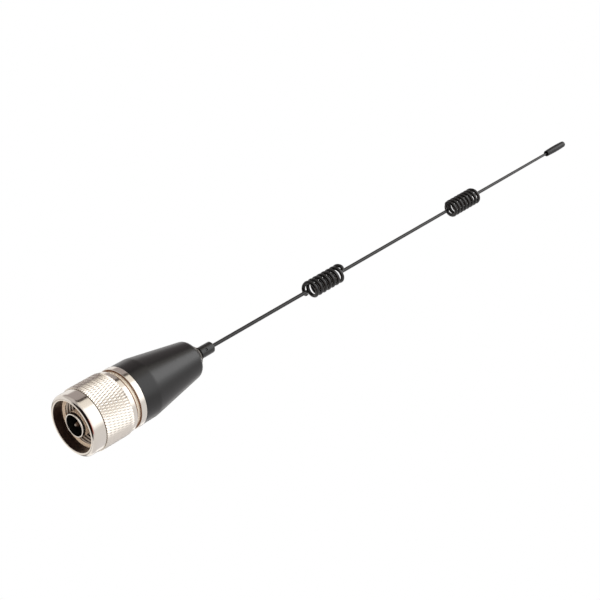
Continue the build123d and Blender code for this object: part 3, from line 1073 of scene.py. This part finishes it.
@dataclass
class Studio:
    """Camera at the photograph's angle, a pale floor and soft light from all round."""

    lens: float = 84.0
    sensor_width: float = 36.0
    clip: tuple[float, float] = (0.01, 40.0)
    camera_place: tuple[float, float, float] = (1.30, -363.80, -202.80)
    camera_elevation: float = -39.71
    camera_roll: float = 59.9
    floor_height: float = -450.0
    floor_size: float = 14000.0
    floor_colour: str = "#f2f1ef"
    floor_roughness: float = 0.9
    light_strength: float = 1.6
    floor_glow: str = "#bdbab8"
    # The rest of what a polished side sees below the horizon is the walls, mirrored in the floor
    floor_share: float = 0.45
    # Height of a direction's end, on a ball of radius one, where the floor starts and where it is whole
    floor_edge: tuple[float, float] = (0.05, -0.2)
    # Softbox above the plug, dark camera stand straight below it, and a red-brown thing beside the stand
    patches: tuple[Patch, ...] = (
        Patch(-99, 27, 60, 16, 12, "#ffffff", 2.2),
        Patch(0, 200, -90, 36, 6, "#15100e"),
        Patch(-90, 60, -56, 11, 5, "#15100e"),
        Patch(-50, 34, -48, 6, 4, "#9a3014"),
    )
    # Azimuth in degrees, counter-clockwise from +X, and what a polished side sees there
    walls: tuple[tuple[float, str], ...] = (
        (-180, "#8d8685"),
        (-163, "#8d8685"),
        (-160, "#3a3330"),
        (-152, "#3a3330"),
        (-149, "#cbc6be"),
        (-124, "#d3cec8"),
        (-118, "#ffffff"),
        (-62, "#ffffff"),
        (-42, "#bcbab9"),
        (45, "#b9b7b8"),
        (55, "#e6e4e2"),
        (66, "#e6e4e2"),
        (69, "#4b4542"),
        (76, "#4b4542"),
        (79, "#dad8d6"),
        (92, "#dcd5cc"),
        (98, "#dcd5cc"),
        (101, "#6a6460"),
        (106, "#6a6460"),
        (109, "#cecccb"),
        (144, "#cecccb"),
        (150, "#8d8685"),
        (180, "#8d8685"),
    )

    def build(self) -> None:
        """Makes the camera, the floor and the light."""
        scene = bpy.context.scene
        scene.view_settings.view_transform = "Standard"
        scene.view_settings.look = "None"
        self._camera(scene)
        self._floor(scene)
        self._room(scene)

    def _camera(self, scene: bpy.types.Scene) -> None:
        """Places the camera below the plug, looking up the whip."""
        data = bpy.data.cameras.new("photo_camera")
        data.lens = self.lens
        data.sensor_width = self.sensor_width
        data.clip_start, data.clip_end = self.clip
        camera = bpy.data.objects.new("photo_camera", data)
        camera.location = Vector(self.camera_place) * MM
        tilt = Euler((radians(90 - self.camera_elevation), 0, 0)).to_matrix()
        roll = Euler((0, 0, radians(self.camera_roll))).to_matrix()
        camera.rotation_mode = "QUATERNION"
        camera.rotation_quaternion = (tilt @ roll).to_quaternion()
        scene.collection.objects.link(camera)
        scene.camera = camera

    def _floor(self, scene: bpy.types.Scene) -> None:
        """Lays a plain pale floor well below the plug, so that it stays out of the photograph's view."""
        mesh = bmesh.new()
        bmesh.ops.create_grid(mesh, x_segments=2, y_segments=2, size=self.floor_size * MM / 2)
        bmesh.ops.translate(mesh, verts=mesh.verts, vec=(0, 0, self.floor_height * MM))
        data = bpy.data.meshes.new("studio_floor")
        mesh.to_mesh(data)
        mesh.free()
        floor = bpy.data.objects.new("studio_floor", data)
        scene.collection.objects.link(floor)
        material = bpy.data.materials.new("matt_white_paint")
        material.use_nodes = True
        shader = material.node_tree.nodes["Principled BSDF"]
        shader.inputs["Base Color"].default_value = linear(self.floor_colour)
        shader.inputs["Roughness"].default_value = self.floor_roughness
        data.materials.append(material)
        floor.visible_glossy = False

    def _room(self, scene: bpy.types.Scene) -> None:
        """Lights the scene with a room that has a softbox, pale and dark walls, and a dark stand below."""
        world = bpy.data.worlds.new("studio_room")
        world.use_nodes = True
        scene.world = world
        tree = world.node_tree
        tree.nodes.clear()
        look = add_node(tree, "ShaderNodeTexCoord").outputs["Generated"]
        axes = add_node(tree, "ShaderNodeSeparateXYZ", {0: look})
        sides = {0: axes.outputs["Y"], 1: axes.outputs["X"]}
        turn = add_node(tree, "ShaderNodeMath", sides, operation="ARCTAN2").outputs[0]
        share = add_node(tree, "ShaderNodeMapRange", {"Value": turn, "From Min": -pi, "From Max": pi})
        ramp = add_node(tree, "ShaderNodeValToRGB", {"Fac": share.outputs["Result"]})
        set_stops(ramp.color_ramp, [((azimuth + 180) / 360, colour) for azimuth, colour in self.walls])
        start, whole = self.floor_edge
        sunk = add_node(
            tree,
            "ShaderNodeMapRange",
            {"Value": axes.outputs["Z"], "From Min": start, "From Max": whole, "To Max": self.floor_share},
        )
        room_colour = self._blend(tree, sunk.outputs["Result"], ramp.outputs["Color"], self.floor_glow)
        rise = add_node(tree, "ShaderNodeMath", {0: axes.outputs["Z"]}, operation="ARCSINE").outputs[0]
        for patch in self.patches:
            across = self._nearness(tree, turn, patch.azimuth, patch.half_width, patch.softness)
            along = self._nearness(tree, rise, patch.elevation, patch.half_height, patch.softness)
            share = add_node(tree, "ShaderNodeMath", {0: across, 1: along}, operation="MULTIPLY")
            room_colour = self._blend(tree, share.outputs[0], room_colour, patch.colour, patch.strength)
        room = add_node(tree, "ShaderNodeBackground", {"Color": room_colour, "Strength": self.light_strength})
        white = add_node(tree, "ShaderNodeBackground", {"Color": linear("#ffffff"), "Strength": 1.0})
        seen = add_node(tree, "ShaderNodeLightPath").outputs["Is Camera Ray"]
        shown = add_node(tree, "ShaderNodeMixShader", {0: seen, 1: room.outputs[0], 2: white.outputs[0]})
        add_node(tree, "ShaderNodeOutputWorld", {"Surface": shown.outputs[0]})

    def _nearness(
        self,
        tree: bpy.types.NodeTree,
        angle: bpy.types.NodeSocket,
        middle: float,
        half: float,
        softness: float,
    ) -> bpy.types.NodeSocket:
        """Tells how far a direction lies inside a patch, along one of its two angles.

        Args:
            tree: The world's tree.
            angle: The direction's angle, in radians.
            middle: The patch's middle, in degrees.
            half: Its half width, in degrees.
            softness: Width of its soft edge, in degrees.

        Returns:
            One inside, zero outside, and between them on the soft edge.
        """
        offset = add_node(tree, "ShaderNodeMath", {0: angle, 1: radians(middle)}, operation="SUBTRACT")
        away = add_node(tree, "ShaderNodeMath", {0: offset.outputs[0]}, operation="ABSOLUTE")
        return add_node(
            tree,
            "ShaderNodeMapRange",
            {
                "Value": away.outputs[0],
                "From Min": radians(half + softness / 2),
                "From Max": radians(half - softness / 2),
            },
        ).outputs["Result"]

    def _blend(
        self,
        tree: bpy.types.NodeTree,
        share: bpy.types.NodeSocket,
        under: bpy.types.NodeSocket,
        over: str,
        strength: float = 1.0,
    ) -> bpy.types.NodeSocket:
        """Lays one colour of the room over another.

        Args:
            tree: The world's tree.
            share: How much of the upper colour shows.
            under: The lower colour.
            over: Hex of the upper colour.
            strength: How many times as bright as paper white the upper colour's white is.

        Returns:
            The blended colour.
        """
        mix = add_node(tree, "ShaderNodeMix", {0: share}, data_type="RGBA")
        lower, upper = [socket for socket in mix.inputs if socket.type == "RGBA"]
        tree.links.new(under, lower)
        red, green, blue, alpha = linear(over)
        upper.default_value = (red * strength, green * strength, blue * strength, alpha)
        return next(socket for socket in mix.outputs if socket.type == "RGBA")


def main() -> None:
    """Builds the sub-assemblies in order and reports them."""
    logging.basicConfig(level=logging.INFO, format="%(message)s")
    for assembly in (InnerParts(), CouplingNut(), Plug(), BootEnd(), Whip(), Studio()):
        assembly.build()
        log.info("built %s", type(assembly).__name__)


if __name__ == "__main__":
    main()
